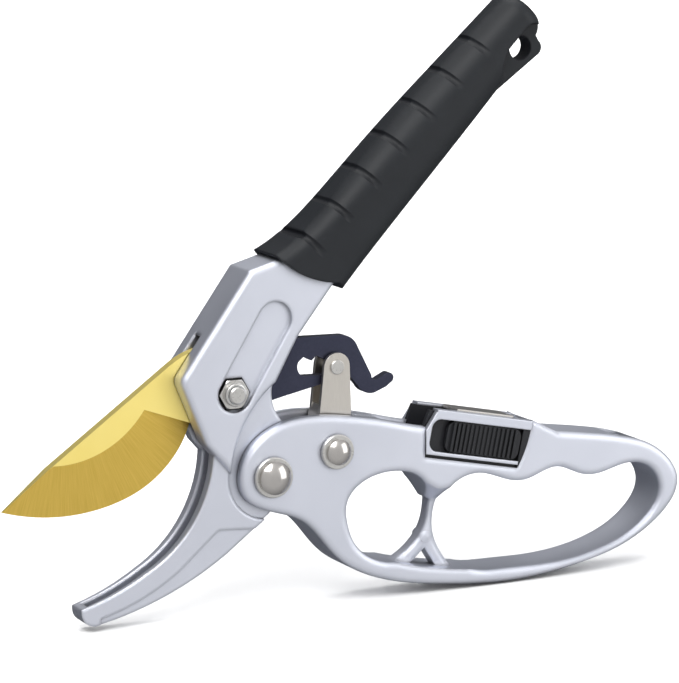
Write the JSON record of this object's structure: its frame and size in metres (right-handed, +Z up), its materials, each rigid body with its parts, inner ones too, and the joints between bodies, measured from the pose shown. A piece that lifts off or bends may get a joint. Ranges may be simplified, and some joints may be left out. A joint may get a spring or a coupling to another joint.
{
  "type": "ratchet pruning shears",
  "caption": "Hand pruning shears with a curved bypass blade, hooked jaw, rubber-sleeved upper handle, ring lower handle with finger holes, ratchet link and thumb slide lock.",
  "frame": {"origin": "centre of the hang hole at the top end of the rubber grip, at mid thickness", "axes": "X to the right in the plane of the shears, blade tip towards -X and ring handle towards +X of it; +Z up, towards the grip's end; +Y through the thickness, along the hang hole and every pivot, away from the nut"},
  "size_m": [0.2113, 0.0234, 0.1692],
  "materials": {
    "cast_aluminium": "satin cast, fine bead-blasted grain",
    "grip_rubber": "matte black, fine grain",
    "gold_blade": "gold titanium-nitride coat over ground steel",
    "black_plate": "black-blue oxide coat, satin",
    "steel": "bright machined",
    "nickel": "brushed nickel plate",
    "rivet": "polished nickel plate",
    "nylon": "plain nylon",
    "spring_steel": "bare spring wire",
    "black_plastic": "moulded, fine grain",
    "bronze": "sintered"
  },
  "bodies": {
    "body": {"main_body": "cast_aluminium", "grip_sleeve": "grip_rubber", "pivot_bolt": "steel", "lock_nut": "steel", "nut_insert": "nylon"},
    "cutter": {"blade": "gold_blade", "ratchet_plate": "black_plate", "drive_rivets": "steel", "pivot_bush": "bronze"},
    "handle": {"lower_handle": "cast_aluminium", "handle_rivet": "rivet", "handle_rivet_washers": "steel", "return_spring": "spring_steel", "link_rivet": "rivet", "link_rivet_washers": "steel", "lock_housing": "black_plastic", "lock_cover": "cast_aluminium", "lock_spring": "spring_steel"},
    "link": {"ratchet_link": "nickel", "link_pin": "steel", "link_spring": "spring_steel"},
    "lock": {"lock_button": "black_plastic", "lock_latch": "nickel"}
  },
  "joints": [
    {"name": "handle_squeeze", "type": "hinge", "parent": "body", "child": "handle", "pos_m": [-0.08074, 0, -0.11567], "axis": [0, -1, 0], "range_deg": [0, 44], "stiffness_Nm_per_rad": 0.6, "springref_deg": -20.05},
    {"name": "blade_close", "type": "hinge", "parent": "body", "child": "cutter", "pos_m": [-0.09204, 0, -0.09127], "axis": [0, -1, 0], "range_deg": [0, 28]},
    {"name": "link_swing", "type": "hinge", "parent": "handle", "child": "link", "pos_m": [-0.06084, 0, -0.11027], "axis": [0, -1, 0], "range_deg": [-39.6, 0]},
    {"name": "lock_slide", "type": "slide", "parent": "handle", "child": "lock", "axis": [-0.9799, 0, 0.1994], "range_m": [0, 0.0045]}
  ],
  "couplings": [
    {"joint": "blade_close", "follows": "handle_squeeze", "ratio": 0.63636},
    {"joint": "link_swing", "follows": "handle_squeeze", "ratio": -0.9}
  ]
}
